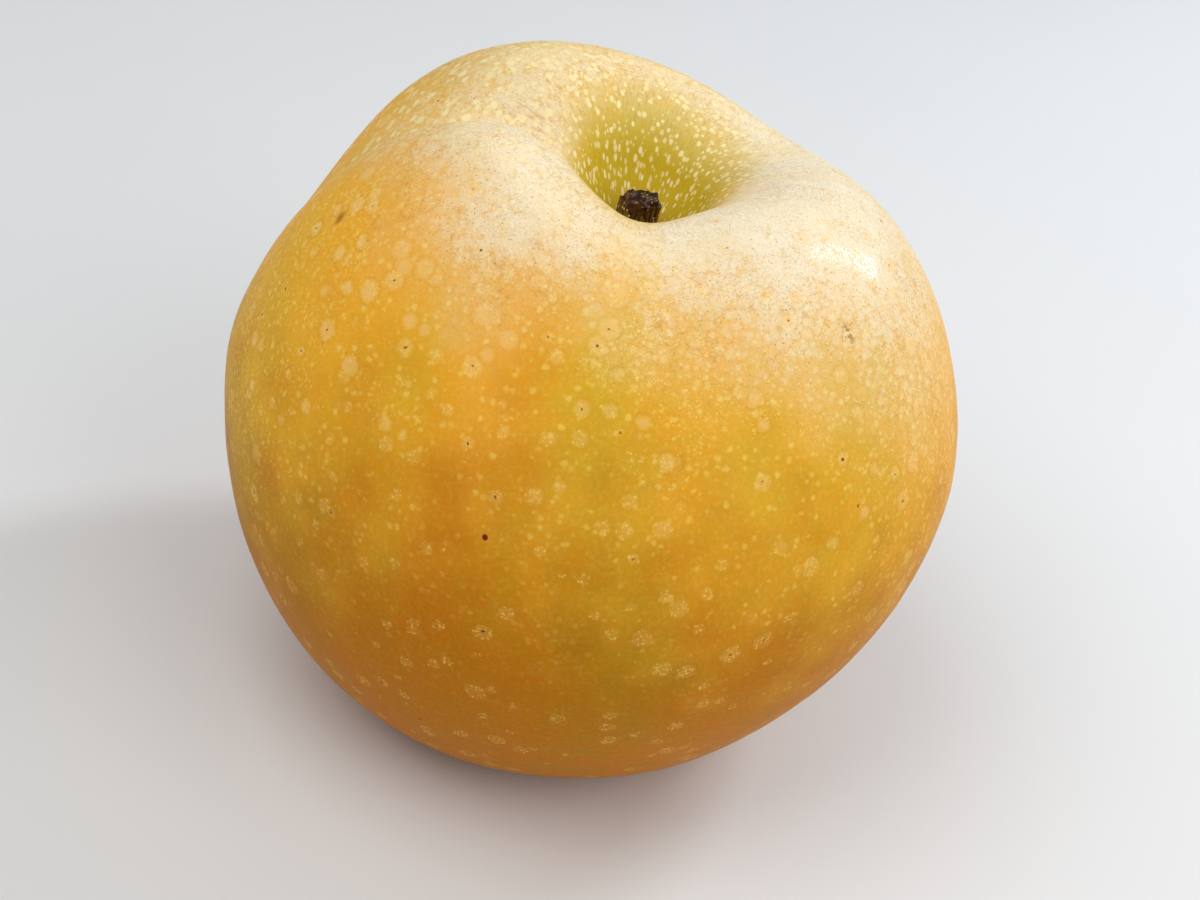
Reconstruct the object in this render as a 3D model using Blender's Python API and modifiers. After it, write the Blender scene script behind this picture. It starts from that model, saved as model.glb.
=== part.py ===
"""Nashi pear: one lobed fruit and its short woody stalk.

Metres, +Z up. The fruit stands on the flat ring round its calyx basin, and the
origin is on that surface, at the middle of the fruit's footprint. Azimuths are
in degrees round +Z from +X. The fruit is first turned from its mean outline,
and then every point is moved by the lobes, valleys and bulges named below.
"""
import math
from typing import NamedTuple

import bpy
import numpy as np

MM = 0.001

# Mean outline of the fruit: heights from the surface, radii from its axis.
BELLY_RADIUS = 50.1 * MM
BELLY_HEIGHT = 47.6 * MM
CREST_RADIUS = 24.8 * MM        # ring of the shoulder round the stalk hollow
CREST_HEIGHT = 83.6 * MM
FOOT_OUTER_RADIUS = 21.4 * MM   # the flat ring it rests on
FOOT_INNER_RADIUS = 18.6 * MM
BASIN_DEPTH = 8.8 * MM          # calyx basin under the fruit
HOLLOW_FLOOR = 60.0 * MM        # bottom of the stalk hollow
HOLLOW_FLOOR_RADIUS = 4.0 * MM

# How square each stretch of the outline is: 2 is an ellipse, less is leaner.
HOLLOW_POWER = 2.54
SHOULDER_POWER = 1.58
FLANK_POWER = 1.92

# Stalk and the socket it grows from.
STALK_LENGTH = 20.0 * MM
STALK_FOOT_RADIUS = 2.3 * MM
STALK_WAIST_RADIUS = 2.1 * MM
STALK_END_RADIUS = 2.8 * MM     # thickened where it was cut
STALK_BEND = 0.3 * MM           # sideways at its end, towards +X
STALK_CUT_SLOPE = 0.3           # the cut face is higher at the front
SOCKET_DEPTH = 2.0 * MM
SEAT_GAP = 0.3 * MM

# Shed calyx: a corky rim round a small pit, in a basin with faint ribs.
SCAR_RADIUS = 4.6 * MM
SCAR_HEIGHT = 0.7 * MM
SCAR_WIDTH = 1.3 * MM
PIT_RADIUS = 1.6 * MM
PIT_DEPTH = 1.6 * MM
RIB_COUNT = 5
RIB_HEIGHT = 0.5 * MM

# Mesh fineness.
FRUIT_STEPS = 72
OUTLINE_STEPS = 38
BASIN_STEPS = 12
STALK_STEPS = 16
MERGE_DISTANCE = 0.00001
CREASE_ANGLE = math.radians(50)


class Swell(NamedTuple):
    """A rise or fall of the shoulder, centred on one azimuth."""

    azimuth: float
    tightness: float    # larger is narrower
    lift: float         # up, at the shoulder's crest
    spread: float       # outward, at the shoulder's side


SHOULDER_SWELLS = {
    "back left lobe": Swell(133, 3.3, 2.9 * MM, 3.1 * MM),
    "front left lobe": Swell(225, 3.8, 6.3 * MM, -0.3 * MM),
    "front right lobe": Swell(318, 2.3, 2.0 * MM, 0.3 * MM),
    "left valley": Swell(172, 16.8, -6.7 * MM, -1.0 * MM),
    "back right valley": Swell(48, 6.9, -2.9 * MM, -2.4 * MM),
    "front valley": Swell(273, 7.0, -3.0 * MM, -0.3 * MM),
}


class Bulge(NamedTuple):
    """An outward or inward move of one height band, centred on one azimuth."""

    azimuth: float
    tightness: float
    outward: float


HOLLOW_MOUTH = (
    Bulge(95, 1.0, 3.3 * MM),
    Bulge(235, 3.8, 0.3 * MM),
    Bulge(285, 5.0, 1.2 * MM),
)
CREST_BULGES = (Bulge(249, 6.9, 2.2 * MM), Bulge(301, 5.0, -3.1 * MM))
BELLY_BULGES = (Bulge(200, 1.5, 1.4 * MM), Bulge(90, 3.0, -1.1 * MM))
BASE_BULGES = (Bulge(320, 1.2, -2.4 * MM),)
TOP_SWAY = (0.2 * MM, 3.7 * MM)     # the hollow's axis at the crest, from the body's


def ease(low, high, value):
    """0 below low, 1 above high, and a smooth step between them."""
    share = min(max((value - low) / (high - low), 0.0), 1.0)
    return share * share * (3 - 2 * share)


def around(azimuth, centre, tightness):
    """1 at the centre azimuth, falling off smoothly round the fruit."""
    return math.exp(tightness * (math.cos(azimuth - math.radians(centre)) - 1))


def bulge_sum(bulges, azimuth):
    """Outward move of a group of bulges at one azimuth."""
    return sum(b.outward * around(azimuth, b.azimuth, b.tightness) for b in bulges)


def sway(height):
    """Sideways place of the fruit's axis at one height."""
    share = ease(25 * MM, 78 * MM, height)
    return TOP_SWAY[0] * share, TOP_SWAY[1] * share


def quarter(centre, reach, power, start, end):
    """Points (radius, height) on part of a superellipse, angles in degrees."""
    points = []
    for angle in np.radians(np.linspace(start, end, 60)):
        across = abs(math.cos(angle)) ** (2 / power) * reach[0]
        up = abs(math.sin(angle)) ** (2 / power) * reach[1]
        points.append((centre[0] + across, centre[1] + up))
    return points


def even_steps(points, count):
    """Place count + 1 points at equal distances along a line of points."""
    line = np.array(points)
    length = np.concatenate(([0], np.cumsum(np.hypot(*np.diff(line, axis=0).T))))
    marks = np.linspace(0, length[-1], count + 1)
    radii = np.interp(marks, length, line[:, 0])
    heights = np.interp(marks, length, line[:, 1])
    return list(zip(radii.tolist(), heights.tolist()))


def socket_outline():
    """Blind hole that the stalk stands in, from the axis to the hollow's floor."""
    radius = STALK_FOOT_RADIUS + SEAT_GAP
    bottom = HOLLOW_FLOOR - SOCKET_DEPTH
    return [(0, bottom), (radius, bottom), (radius, HOLLOW_FLOOR)]


def body_outline():
    """Hollow's wall, shoulder and flank, down to the outer edge of the foot."""
    wall = quarter(
        (CREST_RADIUS, HOLLOW_FLOOR),
        (HOLLOW_FLOOR_RADIUS - CREST_RADIUS, CREST_HEIGHT - HOLLOW_FLOOR),
        HOLLOW_POWER, 0, 90,
    )
    shoulder = quarter(
        (CREST_RADIUS, BELLY_HEIGHT),
        (BELLY_RADIUS - CREST_RADIUS, CREST_HEIGHT - BELLY_HEIGHT),
        SHOULDER_POWER, 90, 0,
    )
    flank = quarter(
        (FOOT_OUTER_RADIUS, BELLY_HEIGHT),
        (BELLY_RADIUS - FOOT_OUTER_RADIUS, -BELLY_HEIGHT),
        FLANK_POWER, 0, 90,
    )
    return even_steps(wall + shoulder[1:] + flank[1:], OUTLINE_STEPS)


def basin_outline():
    """Calyx basin from the inner edge of the foot to its pit, on the axis."""
    points = []
    for step in range(BASIN_STEPS + 1):
        radius = FOOT_INNER_RADIUS * (1 - step / BASIN_STEPS)
        height = BASIN_DEPTH * (1 + math.cos(math.pi * radius / FOOT_INNER_RADIUS)) / 2
        height -= SCAR_HEIGHT * math.exp(-(((radius - SCAR_RADIUS) / SCAR_WIDTH) ** 2))
        height += PIT_DEPTH * ease(PIT_RADIUS, 0, radius)
        points.append((radius, max(height, 0)))
    return points


def swollen(point):
    """Move one point of the turned fruit to its place on the lobed fruit."""
    x, y, height = point
    radius = math.hypot(x, y)
    azimuth = math.atan2(y, x)
    if height > BELLY_HEIGHT:
        middle = HOLLOW_FLOOR + 0.55 * (CREST_HEIGHT - HOLLOW_FLOOR)
        band = math.exp(-(((height - middle) / (9 * MM)) ** 2))
        band *= ease(2.8 * MM, 8 * MM, radius) * (1 - ease(14 * MM, 30 * MM, radius))
        radius += band * bulge_sum(HOLLOW_MOUTH, azimuth)
    crest = math.exp(-(((radius - 22 * MM) / (9 * MM)) ** 2))
    crest *= ease(60 * MM, 80 * MM, height)
    radius += crest * bulge_sum(CREST_BULGES, azimuth)
    upper = ease(28 * MM, 78 * MM, height)
    lift = 0.0
    spread = 0.0
    for swell in SHOULDER_SWELLS.values():
        share = around(azimuth, swell.azimuth, swell.tightness)
        lift += swell.lift * share
        spread += swell.spread * share
    lift *= upper * ease(3 * MM, 22 * MM, radius)
    outward = spread * upper * ease(20 * MM, 42 * MM, radius)
    outward += bulge_sum(BELLY_BULGES, azimuth) * ease(15 * MM, 45 * MM, radius)
    lower = 1 - ease(8 * MM, 45 * MM, height)
    outward += bulge_sum(BASE_BULGES, azimuth) * lower * ease(10 * MM, 25 * MM, radius)
    in_basin = lower * ease(0, 8 * MM, radius) * (1 - ease(10 * MM, FOOT_INNER_RADIUS, radius))
    lift += RIB_HEIGHT * in_basin * math.cos(RIB_COUNT * azimuth)
    side_x, side_y = sway(height)
    grown = radius + outward
    return (
        grown * math.cos(azimuth) + side_x,
        grown * math.sin(azimuth) + side_y,
        height + lift,
    )


def stalk_outline():
    """Outline of the straight stalk, from the top of its axis down to its foot."""
    foot = HOLLOW_FLOOR - SOCKET_DEPTH + SEAT_GAP
    top = foot + STALK_LENGTH
    bevel = 0.7 * MM
    return [
        (0, top),
        (STALK_END_RADIUS - bevel, top),
        (STALK_END_RADIUS - 0.3 * bevel, top - 0.7 * bevel),
        (STALK_END_RADIUS, top - 2 * bevel),
        (STALK_END_RADIUS, top - 4.5 * MM),
        ((STALK_END_RADIUS + STALK_WAIST_RADIUS) / 2, top - 7 * MM),
        (STALK_WAIST_RADIUS, top - 10 * MM),
        (STALK_WAIST_RADIUS, foot + 4 * MM),
        (STALK_FOOT_RADIUS, foot + SOCKET_DEPTH),
        (STALK_FOOT_RADIUS, foot),
        (0, foot),
    ]


def bent(point):
    """Move one point of the straight stalk to its place in the leaning hollow."""
    x, y, height = point
    foot = HOLLOW_FLOOR - SOCKET_DEPTH + SEAT_GAP
    share = (height - foot) / STALK_LENGTH
    side_x, side_y = sway(height)
    cut = -STALK_CUT_SLOPE * y * ease(0.7, 1.0, share)
    return x + side_x + STALK_BEND * share * share, y + side_y, height + cut


def finish(name, colour, roughness):
    """Principled material of one plain colour."""
    material = bpy.data.materials.new(name)
    material.use_nodes = True
    shader = material.node_tree.nodes["Principled BSDF"]
    shader.inputs["Base Color"].default_value = (*colour, 1.0)
    shader.inputs["Roughness"].default_value = roughness
    shader.inputs["Metallic"].default_value = 0.0
    return material


def turned(name, outline, steps, move, material, collection):
    """Turn an outline round Z with a Screw modifier, then move each point."""
    line = bpy.data.meshes.new(name + "_outline")
    edges = [(i, i + 1) for i in range(len(outline) - 1)]
    line.from_pydata([(radius, 0, height) for radius, height in outline], edges, [])
    guide = bpy.data.objects.new(name + "_outline", line)
    collection.objects.link(guide)
    screw = guide.modifiers.new("Turn", "SCREW")
    screw.steps = steps
    screw.render_steps = steps
    screw.use_merge_vertices = True
    screw.merge_threshold = MERGE_DISTANCE
    graph = bpy.context.evaluated_depsgraph_get()
    mesh = bpy.data.meshes.new_from_object(guide.evaluated_get(graph))
    bpy.data.objects.remove(guide)
    for vertex in mesh.vertices:
        vertex.co = move(vertex.co)
    mesh.name = name
    mesh.materials.clear()
    mesh.materials.append(material)
    mesh.shade_smooth()
    mesh.set_sharp_from_angle(angle=CREASE_ANGLE)
    piece = bpy.data.objects.new(name, mesh)
    collection.objects.link(piece)
    return piece


def centre_on_footprint(body, pieces):
    """Shift every piece so that the body's box is centred over the origin."""
    places = np.array([vertex.co[:] for vertex in body.data.vertices])
    middle = (places.min(axis=0) + places.max(axis=0)) / 2
    for piece in pieces:
        for vertex in piece.data.vertices:
            vertex.co.x -= middle[0]
            vertex.co.y -= middle[1]


def main():
    """Build the fruit and its stalk."""
    for old in list(bpy.data.objects):
        bpy.data.objects.remove(old)
    collection = bpy.data.collections.new("nashi_pear")
    bpy.context.scene.collection.children.link(collection)

    skin = finish("skin", (0.62, 0.33, 0.05), 0.5)
    wood = finish("stalk_wood", (0.07, 0.035, 0.015), 0.6)
    outline = socket_outline() + body_outline() + basin_outline()
    fruit = turned("fruit", outline, FRUIT_STEPS, swollen, skin, collection)
    stalk = turned("stalk", stalk_outline(), STALK_STEPS, bent, wood, collection)
    centre_on_footprint(fruit, (fruit, stalk))


main()
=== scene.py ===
"""The finished look of a nashi pear: its lobed body, its woody stalk, light and view.

Sizes are in metres, +Z up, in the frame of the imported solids. The mesh shapes
repeat the solids' own rule at a finer pitch. Patterns on the skin are worked
out in millimetres.
"""

import logging
import math
from dataclasses import dataclass, field
from enum import Enum
from typing import NamedTuple, Sequence, Union

import bmesh
import bpy
from mathutils import Matrix, Quaternion, Vector, noise


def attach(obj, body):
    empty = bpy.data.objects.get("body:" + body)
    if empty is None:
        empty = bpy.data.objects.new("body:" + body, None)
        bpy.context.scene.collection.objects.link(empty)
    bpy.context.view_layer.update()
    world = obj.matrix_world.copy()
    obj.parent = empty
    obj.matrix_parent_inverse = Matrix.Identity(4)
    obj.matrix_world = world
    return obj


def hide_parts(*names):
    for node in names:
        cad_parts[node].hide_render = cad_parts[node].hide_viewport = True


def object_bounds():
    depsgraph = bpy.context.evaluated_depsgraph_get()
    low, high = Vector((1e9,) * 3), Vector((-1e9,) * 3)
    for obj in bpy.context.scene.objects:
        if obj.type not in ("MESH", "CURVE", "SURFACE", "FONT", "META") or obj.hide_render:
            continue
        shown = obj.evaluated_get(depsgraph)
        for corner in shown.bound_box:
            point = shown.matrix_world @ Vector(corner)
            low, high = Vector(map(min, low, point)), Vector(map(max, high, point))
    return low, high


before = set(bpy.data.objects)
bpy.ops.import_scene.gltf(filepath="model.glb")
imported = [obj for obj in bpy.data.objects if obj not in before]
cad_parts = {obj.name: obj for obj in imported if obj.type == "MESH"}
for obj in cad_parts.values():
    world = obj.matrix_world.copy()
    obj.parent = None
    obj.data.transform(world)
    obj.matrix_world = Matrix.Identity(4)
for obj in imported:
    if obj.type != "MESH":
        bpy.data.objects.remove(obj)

CAD_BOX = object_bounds()
MM = 0.001
TURN = 2 * math.pi
TOUCHING = 1e-6         # points nearer than this are one point
ROUNDING = 1e-12        # slack when lengths are added up
ARC_STEPS = 120         # points along a quarter of the outline
BASIN_STEPS = 60        # points across half the basin
GROWTH_SCALE = 50.0     # mm from the axis in the growth attribute, at every height
LOG = logging.getLogger("nashi_pear")

Pair = tuple[float, float]
Colour = tuple[float, float, float, float]
Paint = Union[Colour, "Wire"]
Number = Union[float, int, "Wire"]


def tint(red: int, green: int, blue: int) -> Colour:
    """Turn a screen colour into the linear colour that a shader takes.

    Args:
        red: Red, from 0 to 255.
        green: Green, from 0 to 255.
        blue: Blue, from 0 to 255.

    Returns:
        The linear colour, with full alpha.
    """
    parts = []
    for part in (red / 255, green / 255, blue / 255):
        low = part <= 0.04045
        parts.append(part / 12.92 if low else ((part + 0.055) / 1.055) ** 2.4)
    return (parts[0], parts[1], parts[2], 1.0)


def ease(low: float, high: float, value: float) -> float:
    """Give 0 at low, 1 at high, and a smooth step between; low may be over high."""
    share = min(max((value - low) / (high - low), 0.0), 1.0)
    return share * share * (3 - 2 * share)


def around(azimuth: float, centre: float, tightness: float) -> float:
    """Give 1 at the centre azimuth (degrees), falling off round the fruit."""
    return math.exp(tightness * (math.cos(azimuth - math.radians(centre)) - 1))


@dataclass(frozen=True)
class Bulge:
    """An amount, such as an outward move, that is greatest at one azimuth."""

    azimuth: float      # degrees round the fruit
    tightness: float    # larger is narrower
    amount: float

    def at(self, azimuth: float) -> float:
        """Give the amount at one azimuth, in radians."""
        return self.amount * around(azimuth, self.azimuth, self.tightness)


def summed(bulges: Sequence[Bulge], azimuth: float) -> float:
    """Add up the amounts of several bulges at one azimuth, in radians."""
    return sum(bulge.at(azimuth) for bulge in bulges)


# ---------------------------------------------------------------- shader maths


class Wire:
    """One shader socket that takes part in Python arithmetic."""

    def __init__(self, book: "NodeBook", socket: bpy.types.NodeSocket) -> None:
        """Keep the socket and the book that adds nodes beside it."""
        self.book = book
        self.socket = socket

    def __add__(self, other: Number) -> "Wire":
        """Add a number or another socket."""
        return self.book.maths("ADD", self, other)

    def __radd__(self, other: Number) -> "Wire":
        """Add to a number."""
        return self.book.maths("ADD", other, self)

    def __sub__(self, other: Number) -> "Wire":
        """Take a number or another socket away."""
        return self.book.maths("SUBTRACT", self, other)

    def __rsub__(self, other: Number) -> "Wire":
        """Take this socket away from a number."""
        return self.book.maths("SUBTRACT", other, self)

    def __mul__(self, other: Number) -> "Wire":
        """Multiply by a number or another socket."""
        return self.book.maths("MULTIPLY", self, other)

    def __rmul__(self, other: Number) -> "Wire":
        """Multiply a number."""
        return self.book.maths("MULTIPLY", other, self)

    def __lt__(self, other: Number) -> "Wire":
        """Give 1 where this is under the other, else 0."""
        return self.book.maths("LESS_THAN", self, other)

    def __gt__(self, other: Number) -> "Wire":
        """Give 1 where this is over the other, else 0."""
        return self.book.maths("GREATER_THAN", self, other)

    def step(self, low: Number, high: Number) -> "Wire":
        """Rise smoothly from 0 at low to 1 at high, or fall if high is less."""
        return self.book.step(self, low, high)

    def most(self, other: Number) -> "Wire":
        """Give the larger of the two."""
        return self.book.maths("MAXIMUM", self, other)

    def least(self, other: Number) -> "Wire":
        """Give the smaller of the two."""
        return self.book.maths("MINIMUM", self, other)


class NodeBook:
    """Builds the node tree of one material."""

    def __init__(self, name: str) -> None:
        """Make an empty material with only its output node."""
        self.material = bpy.data.materials.new(name)
        self.material.use_nodes = True
        self.tree = self.material.node_tree
        self.tree.nodes.clear()

    def add(
        self,
        kind: str,
        settings: dict[str, object] | None = None,
        inputs: dict[str | int, object] | None = None,
    ) -> bpy.types.Node:
        """Add one node.

        Args:
            kind: The node's type, without its ShaderNode prefix.
            settings: Attributes of the node, set first.
            inputs: Values or wires of its sockets, by name or place.

        Returns:
            The node.
        """
        node = self.tree.nodes.new("ShaderNode" + kind)
        for key, value in (settings or {}).items():
            setattr(node, key, value)
        for key, value in (inputs or {}).items():
            if isinstance(value, Wire):
                self.tree.links.new(value.socket, node.inputs[key])
            else:
                node.inputs[key].default_value = value
        return node

    def wire(self, node: bpy.types.Node, output: str | int = 0) -> Wire:
        """Wrap one output of a node."""
        return Wire(self, node.outputs[output])

    def maths(self, operation: str, first: Number, second: Number) -> Wire:
        """Add a Math node on two values."""
        node = self.add("Math", {"operation": operation}, {0: first, 1: second})
        return self.wire(node)

    def step(self, value: Wire, low: Number, high: Number) -> Wire:
        """Add a smooth step of a value between two limits.

        Args:
            value: What is tested.
            low: Where the result is 0.
            high: Where the result is 1; it may be less than low.

        Returns:
            The step, from 0 to 1.
        """
        node = self.add(
            "MapRange",
            {"interpolation_type": "SMOOTHSTEP"},
            {"Value": value, "From Min": low, "From Max": high},
        )
        return self.wire(node, "Result")

    def blend(self, share: Number, first: Paint, second: Paint) -> Wire:
        """Mix two colours by a share from 0, the first, to 1, the second."""
        node = self.add("Mix", {"data_type": "RGBA"}, {0: share, 6: first, 7: second})
        return self.wire(node, 2)

    def vector(self, operation: str, first: object, second: object) -> Wire:
        """Add a Vector Math node on two vectors."""
        node = self.add("VectorMath", {"operation": operation}, {0: first, 1: second})
        return self.wire(node, "Vector")

    def scaled(self, place: Wire, scale: float) -> Wire:
        """Multiply a vector by one number."""
        node = self.add("VectorMath", {"operation": "SCALE"}, {0: place, "Scale": scale})
        return self.wire(node, "Vector")

    def split(self, place: Wire) -> tuple[Wire, Wire, Wire]:
        """Give the three parts of a vector."""
        node = self.add("SeparateXYZ", None, {0: place})
        return self.wire(node, 0), self.wire(node, 1), self.wire(node, 2)

    def object_mm(self) -> Wire:
        """Give the place on the object in millimetres."""
        node = self.add("TexCoord")
        return self.scaled(self.wire(node, "Object"), 1 / MM)

    def attribute(self, name: str) -> Wire:
        """Give a vector attribute of the mesh."""
        node = self.add("Attribute", {"attribute_name": name})
        return self.wire(node, "Vector")

    def cloud(self, place: Wire, size: float, detail: float = 3.0) -> Wire:
        """Add soft noise whose patches are about as wide as the size, in mm."""
        inputs = {"Vector": place, "Scale": 1 / size, "Detail": detail, "Roughness": 0.55}
        return self.wire(self.add("TexNoise", None, inputs), 0)

    def shaken(self, place: Wire, size: float, reach: float) -> Wire:
        """Shift a place by noise, so that round marks become uneven.

        Args:
            place: The place in millimetres.
            size: The width of the noise's patches, in mm.
            reach: The most that a place is shifted, in mm.

        Returns:
            The shifted place.
        """
        inputs = {"Vector": place, "Scale": 1 / size, "Detail": 1.0}
        colour = self.wire(self.add("TexNoise", None, inputs), "Color")
        centred = self.vector("SUBTRACT", colour, (0.5, 0.5, 0.5))
        return self.vector("ADD", place, self.scaled(centred, 2 * reach))

    def relief(self, height_mm: Wire, strength: float = 1.0) -> Wire:
        """Turn a height in millimetres into a bumped normal."""
        inputs = {"Strength": strength, "Distance": MM, "Height": height_mm}
        return self.wire(self.add("Bump", None, inputs), "Normal")

    def finish(
        self,
        colour: Paint,
        roughness: Wire,
        normal: Wire,
        others: dict[str, object],
    ) -> bpy.types.Material:
        """Add the shader and the output.

        Args:
            colour: Base colour.
            roughness: Roughness.
            normal: The bumped normal.
            others: Values or wires of the shader's other sockets.

        Returns:
            The finished material.
        """
        inputs = {"Base Color": colour, "Roughness": roughness, "Normal": normal}
        shader = self.add("BsdfPrincipled", None, {**others, **inputs})
        output = self.add("OutputMaterial")
        self.tree.links.new(shader.outputs[0], output.inputs["Surface"])
        return self.material


class Marks(NamedTuple):
    """The masks of one layer of scattered marks."""

    cover: Wire         # 1 on a mark
    distance: Wire      # from the mark's middle, mm
    radius: Wire        # of the mark, mm
    chance: Wire        # a random number alike all over each mark

    def rim(self, near: float, far: float) -> Wire:
        """Give 1 in a ring just outside each mark, between two distances in mm."""
        beyond = self.distance - self.radius
        return beyond.step(near - 0.1, near + 0.05) * beyond.step(far, near + 0.05)


@dataclass(frozen=True)
class MarkLayer:
    """Round marks scattered through the skin, one at most in each cell, in mm."""

    spacing: float      # of the cells
    smallest: float     # radius of the smallest mark
    largest: float      # radius of the largest mark
    edge: float         # width of a mark's soft edge
    shift: float        # moves the pattern, so that layers don't fall together

    def lay(self, book: NodeBook, place: Wire, share: Number) -> Marks:
        """Lay the marks over a place.

        Args:
            book: The material's node book.
            place: The place in millimetres.
            share: The share of the cells that hold a mark.

        Returns:
            The marks' masks.
        """
        moved = book.vector("ADD", place, (self.shift, self.shift * 0.7, -self.shift))
        cells = book.add("TexVoronoi", None, {"Vector": moved, "Scale": 1 / self.spacing})
        distance = book.wire(cells, "Distance") * self.spacing
        size, present, chance = book.split(book.wire(cells, "Color"))
        radius = size * (self.largest - self.smallest) + self.smallest
        cover = distance.step(radius, radius - self.edge) * (present < share)
        return Marks(cover, distance, radius, chance)


@dataclass(frozen=True)
class Patch:
    """A soft oval region of the skin, placed by azimuth and by path.

    The path is measured down the skin from the floor of the stalk hollow.
    """

    azimuth: float      # degrees round the fruit
    path: float         # mm
    across: float       # half width, mm at the belly's radius
    along: float        # half length, mm
    share: float        # strength at its middle

    def at(self, azimuth: float, path: float) -> float:
        """Give the patch's strength at one place, from 0 outside to its share.

        Args:
            azimuth: Azimuth of the place, in radians.
            path: Path of the place, in mm.

        Returns:
            The strength.
        """
        turn = 2 * GROWTH_SCALE**2 * (1 - math.cos(azimuth - math.radians(self.azimuth)))
        reach = math.sqrt(turn / self.across**2 + ((path - self.path) / self.along) ** 2)
        return self.share * (1 - ease(0.0, 1.0, reach))


@dataclass(frozen=True)
class Scuff:
    """A small brown mark on the skin, placed by azimuth and by path."""

    azimuth: float      # degrees round the fruit
    path: float         # mm
    across: float       # half width, mm
    along: float        # half length, mm

    def mask(self, book: NodeBook, grown: Wire) -> Wire:
        """Give 1 at the middle of the mark, and 0 outside it.

        Args:
            book: The material's node book.
            grown: The growth attribute.

        Returns:
            The mask.
        """
        angle = math.radians(self.azimuth)
        middle = (GROWTH_SCALE * math.cos(angle), GROWTH_SCALE * math.sin(angle), self.path)
        offset = book.vector("SUBTRACT", grown, middle)
        size = (1 / self.across, 1 / self.across, 1 / self.along)
        scaled = book.vector("MULTIPLY", offset, size)
        length = book.add("VectorMath", {"operation": "LENGTH"}, {0: scaled})
        return book.wire(length, "Value").step(1.0, 0.1)


# ------------------------------------------------------------------- the shape


@dataclass(frozen=True)
class Swell:
    """A rise or fall of the shoulder, centred on one azimuth."""

    azimuth: float
    tightness: float    # larger is narrower
    lift: float         # up, at the shoulder's crest
    spread: float       # outward, at the shoulder's side


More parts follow.
